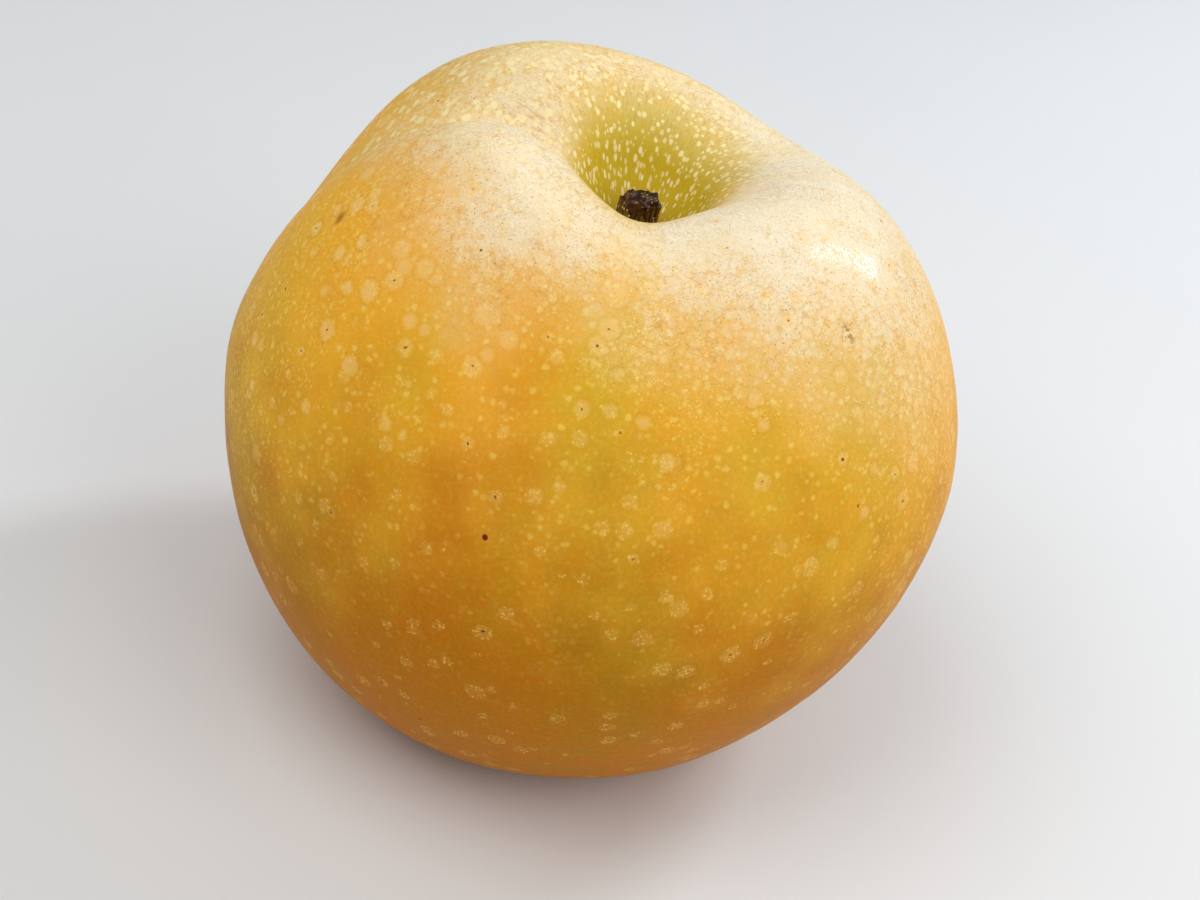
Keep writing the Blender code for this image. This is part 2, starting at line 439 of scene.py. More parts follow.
@dataclass(frozen=True)
class FruitForm:
    """The fruit's mean outline, and the rule that gives it its lobes.

    A pair of heights or radii holds where a move is nothing and where it is full.
    """

    belly_radius: float = 50.1 * MM
    belly_height: float = 47.6 * MM
    crest_radius: float = 24.8 * MM
    crest_height: float = 83.6 * MM
    foot_outer: float = 21.4 * MM
    foot_inner: float = 18.6 * MM
    basin_depth: float = 8.8 * MM
    hollow_floor: float = 60.0 * MM
    hollow_floor_radius: float = 4.0 * MM
    hollow_power: float = 2.54
    shoulder_power: float = 1.58
    flank_power: float = 1.92
    socket_radius: float = 2.6 * MM
    socket_depth: float = 2.0 * MM
    scar_radius: float = 4.6 * MM
    scar_height: float = 0.7 * MM
    scar_width: float = 1.3 * MM
    pit_radius: float = 1.6 * MM
    pit_depth: float = 1.6 * MM
    rib_count: int = 5
    rib_height: float = 0.5 * MM
    rib_start: Pair = (0.0, 8 * MM)
    rib_end: float = 10 * MM
    top_sway: Pair = (0.2 * MM, 3.7 * MM)       # the hollow's axis, from the body's
    sway_heights: Pair = (25 * MM, 78 * MM)
    swells: tuple[Swell, ...] = (
        Swell(133, 3.3, 2.9 * MM, 3.1 * MM),        # back left lobe
        Swell(225, 3.8, 6.3 * MM, -0.3 * MM),       # front left lobe
        Swell(318, 2.3, 2.0 * MM, 0.3 * MM),        # front right lobe
        Swell(172, 16.8, -6.7 * MM, -1.0 * MM),     # left valley
        Swell(48, 6.9, -2.9 * MM, -2.4 * MM),       # back right valley
        Swell(273, 7.0, -3.0 * MM, -0.3 * MM),      # front valley
    )
    upper_heights: Pair = (28 * MM, 78 * MM)
    lift_radii: Pair = (3 * MM, 22 * MM)
    spread_radii: Pair = (20 * MM, 42 * MM)
    mouth: tuple[Bulge, ...] = (
        Bulge(95, 1.0, 3.3 * MM),
        Bulge(235, 3.8, 0.3 * MM),
        Bulge(285, 5.0, 1.2 * MM),
    )
    mouth_level: float = 0.55           # share of the way from the floor to the crest
    mouth_width: float = 9 * MM
    mouth_start: Pair = (2.8 * MM, 8 * MM)
    mouth_end: Pair = (30 * MM, 14 * MM)
    crest: tuple[Bulge, ...] = (Bulge(249, 6.9, 2.2 * MM), Bulge(301, 5.0, -3.1 * MM))
    crest_middle: float = 22 * MM
    crest_width: float = 9 * MM
    crest_heights: Pair = (60 * MM, 80 * MM)
    belly: tuple[Bulge, ...] = (Bulge(200, 1.5, 1.4 * MM), Bulge(90, 3.0, -1.1 * MM))
    belly_radii: Pair = (15 * MM, 45 * MM)
    base: tuple[Bulge, ...] = (Bulge(320, 1.2, -2.4 * MM),)
    base_heights: Pair = (45 * MM, 8 * MM)
    base_radii: Pair = (10 * MM, 25 * MM)

    @staticmethod
    def quarter(
        centre: Pair,
        reach: Pair,
        power: float,
        start: float,
        end: float,
    ) -> list[Pair]:
        """Give points on part of a superellipse.

        Args:
            centre: Its centre, as radius and height.
            reach: Its half axes, with the sign of the way they point.
            power: Its power; 2 is an ellipse.
            start: First angle, in degrees.
            end: Last angle, in degrees.

        Returns:
            The points, as radius and height.
        """
        points = []
        for step in range(ARC_STEPS + 1):
            angle = math.radians(start + (end - start) * step / ARC_STEPS)
            across = abs(math.cos(angle)) ** (2 / power) * reach[0]
            up = abs(math.sin(angle)) ** (2 / power) * reach[1]
            points.append((centre[0] + across, centre[1] + up))
        return points

    def basin(self, radius: float) -> float:
        """Give the mean height of the calyx basin at one radius."""
        height = self.basin_depth * (1 + math.cos(math.pi * radius / self.foot_inner)) / 2
        rim = math.exp(-(((radius - self.scar_radius) / self.scar_width) ** 2))
        height -= self.scar_height * rim
        height += self.pit_depth * ease(self.pit_radius, 0, radius)
        return max(height, 0.0)

    def outline(self) -> list[Pair]:
        """Give the mean outline from the socket's floor over the body to the pit."""
        socket = [
            (0.0, self.hollow_floor - self.socket_depth),
            (self.socket_radius, self.hollow_floor - self.socket_depth),
            (self.socket_radius, self.hollow_floor),
        ]
        wall = self.quarter(
            (self.crest_radius, self.hollow_floor),
            (
                self.hollow_floor_radius - self.crest_radius,
                self.crest_height - self.hollow_floor,
            ),
            self.hollow_power, 0, 90,
        )
        shoulder = self.quarter(
            (self.crest_radius, self.belly_height),
            (
                self.belly_radius - self.crest_radius,
                self.crest_height - self.belly_height,
            ),
            self.shoulder_power, 90, 0,
        )
        flank = self.quarter(
            (self.foot_outer, self.belly_height),
            (self.belly_radius - self.foot_outer, -self.belly_height),
            self.flank_power, 0, 90,
        )
        below = []
        for step in range(BASIN_STEPS + 1):
            radius = self.foot_inner * (1 - step / BASIN_STEPS)
            below.append((radius, self.basin(radius)))
        return socket + wall + shoulder[1:] + flank[1:] + below

    def sway(self, height: float) -> Pair:
        """Give the sideways place of the fruit's axis at one height."""
        share = ease(*self.sway_heights, height)
        return self.top_sway[0] * share, self.top_sway[1] * share

    def mouth_move(self, radius: float, height: float, azimuth: float) -> float:
        """Give how far the wall of the stalk hollow stands back at one place."""
        if height <= self.belly_height:
            return 0.0
        depth = self.crest_height - self.hollow_floor
        middle = self.hollow_floor + self.mouth_level * depth
        band = math.exp(-(((height - middle) / self.mouth_width) ** 2))
        band *= ease(*self.mouth_start, radius) * ease(*self.mouth_end, radius)
        return band * summed(self.mouth, azimuth)

    def swollen(self, point: Vector) -> Vector:
        """Move one point of the turned fruit to its place on the lobed fruit.

        Args:
            point: The point on the turned fruit.

        Returns:
            Its place on the lobed fruit.
        """
        height = point.z
        radius = math.hypot(point.x, point.y)
        azimuth = math.atan2(point.y, point.x)
        radius += self.mouth_move(radius, height, azimuth)
        crest = math.exp(-(((radius - self.crest_middle) / self.crest_width) ** 2))
        crest *= ease(*self.crest_heights, height)
        radius += crest * summed(self.crest, azimuth)
        upper = ease(*self.upper_heights, height)
        shares = [around(azimuth, s.azimuth, s.tightness) for s in self.swells]
        lift = sum(s.lift * share for s, share in zip(self.swells, shares))
        spread = sum(s.spread * share for s, share in zip(self.swells, shares))
        lift *= upper * ease(*self.lift_radii, radius)
        outward = spread * upper * ease(*self.spread_radii, radius)
        outward += summed(self.belly, azimuth) * ease(*self.belly_radii, radius)
        lower = ease(*self.base_heights, height)
        outward += summed(self.base, azimuth) * lower * ease(*self.base_radii, radius)
        in_basin = lower * ease(*self.rib_start, radius)
        in_basin *= ease(self.foot_inner, self.rib_end, radius)
        lift += self.rib_height * in_basin * math.cos(self.rib_count * azimuth)
        side_x, side_y = self.sway(height)
        grown = radius + outward
        return Vector((
            grown * math.cos(azimuth) + side_x,
            grown * math.sin(azimuth) + side_y,
            height + lift,
        ))


def spaced(points: Sequence[Pair], pitch: float) -> list[tuple[float, float, float]]:
    """Place points at about equal distances along an outline.

    Args:
        points: The outline, as radius and height.
        pitch: The distance wanted between points.

    Returns:
        Radius, height and distance along the outline of each new point.
    """
    total = sum(math.dist(a, b) for a, b in zip(points, points[1:]))
    step = total / round(total / pitch)
    placed = [(*points[0], 0.0)]
    done = 0.0
    for start, end in zip(points, points[1:]):
        length = math.dist(start, end)
        while length > 0 and len(placed) * step <= done + length + ROUNDING:
            share = (len(placed) * step - done) / length
            radius = start[0] + (end[0] - start[0]) * share
            height = start[1] + (end[1] - start[1]) * share
            placed.append((radius, height, len(placed) * step))
        done += length
    placed[-1] = (*points[-1], done)
    return placed


def turned(points: Sequence[tuple[float, float, float]], steps: int) -> bmesh.types.BMesh:
    """Turn an outline round Z into a closed mesh.

    Args:
        points: Radius, height and path of each point, from axis to axis.
        steps: How many stretches go round.

    Returns:
        The mesh, with the path of each point in its path layer.
    """
    body = bmesh.new()
    layer = body.verts.layers.float.new("path")
    line = []
    for radius, height, path in points:
        vertex = body.verts.new((radius, 0, height))
        vertex[layer] = path
        line.append(vertex)
    edges = [body.edges.new(pair) for pair in zip(line, line[1:])]
    bmesh.ops.spin(
        body, geom=line + edges, axis=(0, 0, 1), cent=(0, 0, 0),
        angle=TURN, steps=steps, use_merge=True,
    )
    bmesh.ops.remove_doubles(body, verts=body.verts[:], dist=TOUCHING)
    bmesh.ops.recalc_face_normals(body, faces=body.faces[:])
    return body


def shown(name: str, body: bmesh.types.BMesh, material: bpy.types.Material) -> bpy.types.Object:
    """Make an object of a mesh, shaded smooth, at the origin.

    Args:
        name: The object's name.
        body: The mesh, which is freed.
        material: Its material.

    Returns:
        The linked object.
    """
    mesh = bpy.data.meshes.new(name)
    body.to_mesh(mesh)
    body.free()
    mesh.materials.append(material)
    mesh.shade_smooth()
    piece = bpy.data.objects.new(name, mesh)
    bpy.context.scene.collection.objects.link(piece)
    return piece


# ---------------------------------------------------------------- the finishes


@dataclass(frozen=True)
class Cloud:
    """Soft noise, worked out for each point of the mesh."""

    size: float         # width of its patches, mm
    strength: float     # it gives from about minus this to this
    seed: float         # moves the pattern

    def at(self, place: Vector) -> float:
        """Give the noise at a place in millimetres."""
        start = Vector((self.seed, -self.seed, 0.5 * self.seed))
        coarse = noise.noise(place / self.size + start)
        fine = noise.noise(place * (2.1 / self.size) - start)
        return self.strength * (coarse + 0.5 * fine)


@dataclass(frozen=True)
class SkinMap:
    """Where the broad zones of the skin lie; they are stored on the mesh.

    Each pair holds where on the path a zone is nothing and where it is full, in
    mm. The bulges shift these edges round the fruit, by amounts in mm.
    """

    hollow_end: Pair = (38.0, 24.0)
    sand_start: Pair = (22.0, 38.0)
    sooner: float = 9.0             # both edges come this much sooner, but behind
    sooner_moves: tuple[Bulge, ...] = (
        Bulge(75, 1.5, -9.0),
        # painted shade: at the front lip both edges come later, so the pale cover starts lower
        Bulge(266, 12.0, -5.0),
        Bulge(178, 6.0, 7.0),
        Bulge(352, 8.0, 3.0),
    )
    sand_reach: float = 46.0
    reach_moves: tuple[Bulge, ...] = (
        Bulge(342, 3.0, 13.0),
        Bulge(247, 12.0, 5.0),
        Bulge(266, 25.0, -6.0),
        Bulge(203, 20.0, -3.0),
        Bulge(298, 14.0, -4.0),
    )
    sand_fade: float = 14.0         # half the width of the cover's lower edge
    fade_move: Bulge = Bulge(342, 3.0, 9.0)
    # Partly painted shade: the pale cover is thinned on the far lobe, partly the skin's own
    # sparser cover and partly shade.
    far_thinning_and_shade: Bulge = Bulge(130, 1.6, 0.36)     # shares of the cover
    # Painted shade: at the front lip the pale cover is thinned, fully up to a path of 30 mm and
    # not at all past 42 mm.
    lip_shade: Bulge = Bulge(264, 8.0, 0.24)
    lip_shade_end: Pair = (42.0, 30.0)
    # The deep base is darker towards the bottom: partly the skin's own deeper amber, partly
    # painted shade; the first move brings it sooner at the front.
    deep_start: Pair = (57.0, 109.0)
    deep_moves: tuple[Bulge, ...] = (Bulge(264, 8.0, 13.0), Bulge(212, 8.0, -3.0))
    fray: Cloud = Cloud(7.0, 1.0, 3.7)
    start_fray: float = 3.0         # how far the fray moves each edge
    reach_fray: float = 4.0
    deep_fray: float = 9.0
    streak_length: float = 2.5      # of the streaks down the skin, against their width
    green_level: float = 0.3
    green_streaks: Cloud = Cloud(9.0, 0.19, 8.1)
    green_clouds: Cloud = Cloud(4.0, 0.22, 1.3)
    green_end: Pair = (46.0, 26.0)
    greens: tuple[Patch, ...] = (
        Patch(272, 62, 13, 40, 0.45),
        Patch(281, 95, 14, 24, 0.35),
        Patch(240, 66, 7, 9, 0.3),
        Patch(202, 84, 24, 34, 0.4),
        Patch(318, 78, 16, 14, 0.25),
        Patch(30, 80, 30, 40, 0.35),
        Patch(110, 90, 30, 36, 0.4),
        Patch(150, 46, 44, 30, 0.6),
        Patch(252, 62, 8, 44, -0.5),
        Patch(228, 60, 12, 26, -0.4),
        Patch(296, 62, 16, 18, 0.3),
        Patch(318, 58, 22, 24, 0.35),
        Patch(212, 94, 30, 22, 0.25),
    )
    blush_level: float = 0.15
    blush_streaks: Cloud = Cloud(10.0, 0.2, 5.9)
    blushes: tuple[Patch, ...] = (
        Patch(253, 58, 9, 40, 0.6),
        Patch(222, 50, 20, 24, 0.7),
        Patch(348, 74, 30, 30, 0.5),
        Patch(150, 60, 26, 22, 0.6),
        Patch(75, 70, 22, 26, 0.5),
    )
    drift_level: float = 0.45
    drift_clouds: Cloud = Cloud(7.0, 0.5, 2.2)
    drifts: tuple[Patch, ...] = (
        Patch(284, 56, 24, 18, 0.4),
        Patch(204, 74, 30, 44, 0.5),
        Patch(346, 72, 30, 44, 0.5),
        Patch(294, 78, 36, 22, -0.4),
        Patch(244, 80, 16, 24, -0.2),
    )

    def cover(self, place: Vector, azimuth: float, path: float) -> Vector:
        """Give the shares of the sandy shoulder, of the hollow and of the deep base, which is
        partly painted shade.

        Args:
            place: The place in millimetres.
            azimuth: Its azimuth, in radians.
            path: Its path down the skin, in mm.

        Returns:
            The three shares.
        """
        fray = self.fray.at(place)
        reach = self.sand_reach + summed(self.reach_moves, azimuth)
        fade = self.sand_fade + self.fade_move.at(azimuth)
        sooner = self.sooner + summed(self.sooner_moves, azimuth)
        sandy = ease(*self.sand_start, path + sooner + self.start_fray * fray)
        sandy *= ease(fade, -fade, path - reach + self.reach_fray * fray)
        # Partly painted shade: the thinner cover on the far lobe.
        sandy *= 1 - self.far_thinning_and_shade.at(azimuth)
        # Painted shade on the front lip: the pale cover thins there.
        sandy *= 1 - self.lip_shade.at(azimuth) * ease(*self.lip_shade_end, path)
        hollow = ease(*self.hollow_end, path + sooner - self.start_fray * fray)
        # The deep base: darker towards the bottom, partly painted shade.
        deeper = path + summed(self.deep_moves, azimuth)
        deep = ease(*self.deep_start, deeper + self.deep_fray * fray)
        return Vector((sandy, hollow, deep))

    def hue(self, place: Vector, azimuth: float, path: float) -> Vector:
        """Give the shares of green, of blush, and of drifts of small dots.

        Args:
            place: The place in millimetres.
            azimuth: Its azimuth, in radians.
            path: Its path down the skin, in mm.

        Returns:
            The three shares.
        """
        round_x, round_y = GROWTH_SCALE * math.cos(azimuth), GROWTH_SCALE * math.sin(azimuth)
        streak = Vector((round_x, round_y, path / self.streak_length))
        green = self.green_level + ease(*self.green_end, path)
        green += self.green_streaks.at(streak) + self.green_clouds.at(place)
        green += sum(patch.at(azimuth, path) for patch in self.greens)
        blush = self.blush_level + self.blush_streaks.at(streak)
        blush += sum(patch.at(azimuth, path) for patch in self.blushes)
        drift = self.drift_level + self.drift_clouds.at(place)
        drift += sum(patch.at(azimuth, path) for patch in self.drifts)
        return Vector([min(max(share, 0.0), 1.0) for share in (green, blush, drift)])


@dataclass(frozen=True)
class SkinFinish:
    """The colours and marks of the fruit's skin."""

    amber: Colour = tint(244, 177, 42)
    olive: Colour = tint(226, 182, 46)
    orange: Colour = tint(250, 172, 62)
    # Colours of the deep base: partly the skin's own deeper amber, partly painted shade towards
    # the bottom.
    deep: Colour = tint(190, 110, 0)
    deep_olive: Colour = tint(170, 116, 0)
    sand: Colour = tint(244, 231, 202)
    sand_blush: Colour = tint(246, 215, 154)
    hollow_rim: Colour = tint(222, 202, 138)
    hollow_gold: Colour = tint(198, 172, 36)
    # The hollow's floor: a darker green gold, partly its own colour and partly painted shade.
    hollow_deep_and_shade: Colour = tint(166, 134, 18)
    fleck: Colour = tint(255, 244, 210)
    warm_fleck: Colour = tint(255, 218, 104)
    gold_fleck: Colour = tint(238, 184, 78)
    dot: Colour = tint(250, 212, 100)
    hollow_dot: Colour = tint(248, 232, 172)
    disc: Colour = tint(249, 206, 128)
    cork: Colour = tint(134, 88, 44)
    russet: Colour = tint(150, 88, 22)
    speck: Colour = tint(74, 38, 14)
    wound: Colour = tint(118, 36, 14)
    crack: Colour = tint(184, 126, 52)

    lenticels: MarkLayer = MarkLayer(3.7, 0.8, 1.6, 0.6, 3.1)
    flecks: MarkLayer = MarkLayer(0.38, 0.11, 0.24, 0.08, 8.7)
    dots: MarkLayer = MarkLayer(1.05, 0.3, 0.62, 0.38, 5.9)
    hollow_dots: MarkLayer = MarkLayer(1.02, 0.24, 0.62, 0.2, 21.4)
    rub: Scuff = Scuff(210.5, 57.6, 1.3, 1.5)
    flaking: Scuff = Scuff(319.5, 52.5, 2.2, 1.9)
    sting: Scuff = Scuff(258.5, 77.0, 0.65, 0.65)

    def make(self) -> bpy.types.Material:
        """Build the material, each layer over the one before.

        Returns:
            The skin's material.
        """
        paint = SkinPaint(self)
        paint.flesh()
        paint.shoulder()
        paint.hollow_ground()
        paint.large_lenticels()
        paint.crowded_flecks()
        paint.fine_cracks()
        paint.hollow_marks()
        paint.single_marks()
        paint.corky_scar()
        return paint.material()


class SkinPaint:
    """The skin's material while its layers are laid."""

    def __init__(self, look: SkinFinish) -> None:
        """Read the mesh's attributes, and place the marks that layers share."""
        self.look = look
        self.colour: Paint = look.amber
        self.book = book = NodeBook("pear_skin")
        self.place = book.object_mm()
        self.grown = book.attribute("growth")
        self.right, self.back, self.path = book.split(self.grown)
        # The deep base share is partly painted shade towards the bottom; it also shapes the
        # rosettes and flecks there.
        self.sandy, self.hollow, self.deep = book.split(book.attribute("cover"))
        self.green, self.blush, self.drift = book.split(book.attribute("hue"))
        self.flank = (1 - self.hollow) * self.path.step(30.0, 46.0)
        self.cork = self.path.step(150.0, 160.0).most(self.path.step(4.0, 1.0))
        uneven = book.shaken(self.place, 0.6, 0.3)
        self.mottle = book.cloud(self.place, 1.5, 2.0)
        self.clots = book.cloud(self.place, 0.6, 1.0)
        self.crazing = book.cloud(uneven, 0.45, 1.5)
        self.dots = look.dots.lay(book, uneven, self.drift * 0.85 + 0.25)
        self.veil = self.between_dots()
        self.lenticels = look.lenticels.lay(book, uneven, 0.9)
        broken = self.lenticels.chance * 0.3 + self.deep * 1.1
        self.rosette = self.lenticels.cover * broken.step(0.2, 0.5)
        self.flecks = look.flecks.lay(book, self.place, self.crowd())
        self.flecked = self.flecks.cover * (self.flecks.chance * 0.6 + 0.4)

    def between_dots(self) -> Wire:
        """Give 1 on the small dots, which widen in the sandy cover, and less between."""
        reach = self.dots.radius + self.sandy * 0.75
        return self.dots.distance.step(reach, reach - 0.45) * 0.42 + 0.58

    def crowd(self) -> Wire:
        """Give how far flecks crowd: on the shoulder, in rosettes and in drifts."""
        drifted = (self.drift + self.mottle * 0.8).step(0.95, 1.25) * (1 - self.deep) * 0.5
        return self.sandy * 0.5 + self.rosette.step(0.05, 0.4) + drifted - self.hollow

    def over(self, share: Number, colour: Paint) -> None:
        """Lay a colour over the layers so far, by a share from 0 to 1."""
        self.colour = self.book.blend(share, self.colour, colour)

    def flesh(self) -> None:
        """Lay the amber ground, with its greener and redder zones and a deeper base that is
        partly painted shade.
        """
        look = self.look
        tone = (self.green + (self.mottle - 0.5) * 0.7).step(0.0, 1.0)
        self.over(tone, look.olive)
        self.over(self.blush * 0.6, look.orange)
        # Partly painted shade: the deep base darkens the ground towards the bottom.
        self.over(self.deep * 0.95, self.book.blend(tone, look.deep, look.deep_olive))
        self.over(self.clots.step(0.42, 0.72) * (1 - self.deep * 0.72) * 0.17, look.dot)

    def shoulder(self) -> None:
        """Lay small pale dots, which grow together into the shoulder's sandy cover."""
        look = self.look
        dotted = self.dots.cover * self.flank * (self.dots.chance * 0.4 + 0.4)
        self.over(dotted * (1 - self.deep * 0.9), look.dot)
        sand = self.book.blend(self.blush, look.sand, look.sand_blush)
        self.over((self.sandy * self.veil * (self.mottle * 0.5 + 0.85)).least(1.0), sand)

    def hollow_ground(self) -> None:
        """Lay the green gold of the stalk hollow, paler towards its rim. Its darker floor is
        partly painted shade, and its back wall has painted shade.
        """
        look = self.look
        # Partly painted shade: the gold darkens towards the hollow's floor.
        gold = self.book.blend(self.path.step(16.0, 4.0), look.hollow_gold, look.hollow_deep_and_shade)
        # Painted shade: on the back wall the pale rim starts a little further from the floor.
        rim = (self.path - self.back * 0.05).step(16.0, 32.0)
        self.over(self.hollow * 0.95, self.book.blend(rim, gold, look.hollow_rim))

    def large_lenticels(self) -> None:
        """Lay the large lenticels: pale discs above, the ground of rosettes below."""
        look = self.look
        discs = (self.lenticels.cover - self.rosette * 0.5) * self.flank
        self.over(discs * (self.drift * 0.3 + 0.35) * (1 - self.deep * 0.65), look.disc)
        browned = self.lenticels.rim(0.0, 0.5) * self.clots.step(0.4, 0.65) * self.flank
        self.over(browned * (self.drift * 0.3 + 0.1), look.crack)

    def crowded_flecks(self) -> None:
        """Lay the flecks, paler on the shoulder and more golden below."""
        look = self.look
        fleck = self.book.blend(self.sandy, look.warm_fleck, look.fleck)
        fleck = self.book.blend(self.deep, fleck, look.gold_fleck)
        self.over(self.flecked * (self.sandy * 0.2 + self.deep * 0.4 + 0.6), fleck)

    def fine_cracks(self) -> None:
        """Lay fine brown cracks and grains between the pale cells of the shoulder."""
        look = self.look
        cracks = self.crazing.step(0.45, 0.49) * self.crazing.step(0.55, 0.51)
        cracked = cracks * (1.6 - self.veil) * (self.sandy + 0.3) * (self.drift * 0.7 + 0.1)
        self.over(cracked.least(1.0) * 0.9, look.crack)
        grains = self.flecks.distance.step(0.12, 0.06) * (self.flecks.chance < 0.25)
        self.over(grains * self.sandy.step(0.1, 0.5) * (1 - self.hollow) * 0.6, look.russet)

    def hollow_marks(self) -> None:
        """Lay the hollow's streaks and cream dots, drawn out towards the stalk.

        The dots go on over the far lobe.
        """
        book, look, path = self.book, self.look, self.path
        streaks = book.cloud(book.vector("MULTIPLY", self.grown, (0.64, 0.64, 0.26)), 0.45, 1.0)
        streaked = streaks.step(0.5, 0.66) * path.step(4.0, 10.0) * path.step(38.0, 30.0)
        self.over(streaked * (path.step(20.0, 28.0) * 0.06 + 0.22), look.crack)
        drawn = book.vector("MULTIPLY", self.grown, (0.4, 0.4, 0.85))
        cream = look.hollow_dots.lay(book, book.shaken(drawn, 0.7, 0.16), 0.95)
        edge = path + self.right * 0.12 + self.right.most(0.0) * 0.2
        edge = edge - self.back * 0.2 - self.back.least(0.0) * 0.2
        kept = (cream.chance + path.step(2.0, 22.0)).step(0.55, 0.75)
        creamy = cream.cover * kept * path.step(2.0, 9.0) * edge.step(54.0, 42.0)
        self.over(creamy * (cream.chance * 0.4 + 0.5), look.hollow_dot)

    def single_marks(self) -> None:
        """Lay dark pores, one rubbed place, one flaking place and one sting."""
        book, look = self.book, self.look
        pores = self.lenticels.distance.step(0.26, 0.12) * (self.lenticels.chance > 0.25)
        self.over(pores * self.flank * 0.85, look.speck)
        flaked = look.flaking.mask(book, self.grown) * self.clots.step(0.46, 0.56)
        self.over(look.rub.mask(book, self.grown).most(flaked) * 0.75, look.russet)
        self.over(look.sting.mask(book, self.grown).step(0.3, 0.7), look.wound)

    def corky_scar(self) -> None:
        """Lay cork on the calyx scar below, and round the stalk's foot."""
        book, look = self.book, self.look
        rings = book.cloud(book.vector("MULTIPLY", self.grown, (0.06, 0.06, 1.0)), 0.7, 2.0)
        self.over(self.cork * 0.9, book.blend(rings.step(0.36, 0.64), look.cork, look.crack))

    def material(self) -> bpy.types.Material:
        """Close the material with its relief, its roughness and its waxy coat.

        Returns:
            The skin's material.
        """
        coarse = self.mottle * (self.sandy * 0.07 + 0.03)
        relief = self.book.relief(coarse + self.clots * (self.sandy * 0.05 + 0.015))
        roughness = self.mottle * 0.1 + 0.4 + self.flecked * 0.12 + self.cork * 0.3
        waxed = self.crazing.step(0.46, 0.6) * 0.5 + 0.02
        others = {
            "IOR": 1.34,
            "Specular IOR Level": 0.08,
            "Coat Weight": self.sandy * waxed + 0.02,
            "Coat Roughness": 0.13,
        }
        return self.book.finish(self.colour, roughness, relief, others)


@dataclass(frozen=True)
class StalkFinish:
    """The dried wood of the stalk."""

    bark: Colour = tint(120, 94, 38)
    furrow: Colour = tint(58, 36, 14)
    dark: Colour = tint(20, 9, 4)
    red: Colour = tint(62, 20, 8)
    pore: Colour = tint(232, 200, 140)
    pores: MarkLayer = MarkLayer(0.7, 0.12, 0.22, 0.06, 4.4)

    def make(self, top: float) -> bpy.types.Material:
        """Build the material.

        Args:
            top: Height of the stalk's cut end, in mm.

        Returns:
            The stalk's material.
        """
        book = NodeBook("stalk_wood")
        place = book.object_mm()
        _, _, height = book.split(place)
        fibre = book.cloud(book.vector("MULTIPLY", place, (1.0, 1.0, 0.16)), 0.5, 4.0)
        stain = book.cloud(place, 1.4, 4.0)
        ended = (height + (stain - 0.5) * 3.0).step(top - 2.4, top - 1.2)
        colour = book.blend(fibre.step(0.38, 0.62), self.furrow, self.bark)
        colour = book.blend(stain.step(0.5, 0.7) * 0.6, colour, self.dark)
        colour = book.blend(ended * 0.9, colour, self.dark)
        colour = book.blend(stain.step(0.42, 0.56) * ended * 0.85, colour, self.red)
        pores = self.pores.lay(book, place, 0.8)
        colour = book.blend(pores.cover * (1 - ended * 0.5) * 0.85, colour, self.pore)
        relief = fibre * 0.16 + stain * 0.3 + pores.cover * 0.05
        roughness = 0.6 - ended * 0.3 + fibre * 0.1
        others = {
            "IOR": 1.5,
            "Specular IOR Level": 0.12,
            "Coat Weight": ended * stain.step(0.5, 0.64),
            "Coat Roughness": 0.08,
        }
        return book.finish(colour, roughness, book.relief(relief), others)


# ------------------------------------------------------------------ the pieces


@dataclass
class Fruit:
    """The fruit: a fine mesh of the lobed form, and its skin."""

    form: FruitForm = field(default_factory=FruitForm)
    finish: SkinFinish = field(default_factory=SkinFinish)
    map: SkinMap = field(default_factory=SkinMap)
    steps: int = 360
    pitch: float = 0.72 * MM
    uneven_from: Pair = (0.05 * MM, 2 * MM)     # heights; the foot stays even
    waves: tuple[Pair, ...] = (                 # width and height of each
        (18.0 * MM, 0.16 * MM),
        (6.5 * MM, 0.06 * MM),
        (2.4 * MM, 0.015 * MM),
    )

    @staticmethod
    def middle(body: bmesh.types.BMesh) -> Vector:
        """Give the middle of the footprint of a mesh."""
        xs = [vertex.co.x for vertex in body.verts]
        ys = [vertex.co.y for vertex in body.verts]
        return Vector(((min(xs) + max(xs)) / 2, (min(ys) + max(ys)) / 2, 0))

    def ripple(self, place: Vector) -> float:
        """Give the small unevenness of the skin at one place."""
        return sum(depth * noise.noise(place / size) for size, depth in self.waves)

    def grow(self, body: bmesh.types.BMesh) -> None:
        """Give the turned mesh its lobes, and store the skin's zones on it.

        Args:
            body: The turned mesh, which is changed.
        """
        path_layer = body.verts.layers.float["path"]
        growth = body.verts.layers.float_vector.new("growth")
        cover = body.verts.layers.float_vector.new("cover")
        hue = body.verts.layers.float_vector.new("hue")
        socket = self.form.socket_depth + self.form.socket_radius
        for vertex in body.verts:
            azimuth = math.atan2(vertex.co.y, vertex.co.x)
            path = (vertex[path_layer] - socket) / MM
            across = GROWTH_SCALE if vertex.co.xy.length > TOUCHING else 0.0
            vertex[growth] = (across * math.cos(azimuth), across * math.sin(azimuth), path)
            vertex.co = self.form.swollen(vertex.co)
            place = vertex.co / MM
            vertex[cover] = self.map.cover(place, azimuth, path)
            vertex[hue] = self.map.hue(place, azimuth, path)

    def roughen(self, body: bmesh.types.BMesh, middle: Vector) -> None:
        """Centre the mesh, and give it the small unevenness of the skin.

        Args:
            body: The lobed mesh, which is changed.
            middle: The middle of its footprint, which goes to the origin.
        """
        body.normal_update()
        for vertex in body.verts:
            rise = self.ripple(vertex.co) * ease(*self.uneven_from, vertex.co.z)
            vertex.co = vertex.co + vertex.normal * rise - middle
            vertex.co.z = max(vertex.co.z, 0.0)

    def build(self) -> tuple[bpy.types.Object, Vector]:
        """Build the fruit.

        Returns:
            The object, and the middle of its footprint before it was centred.
        """
        body = turned(spaced(self.form.outline(), self.pitch), self.steps)
        self.grow(body)
        middle = self.middle(body)
        self.roughen(body, middle)
        piece = shown("fruit_skin", body, self.finish.make())
        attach(piece, "root")
        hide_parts("fruit")
        return piece, middle


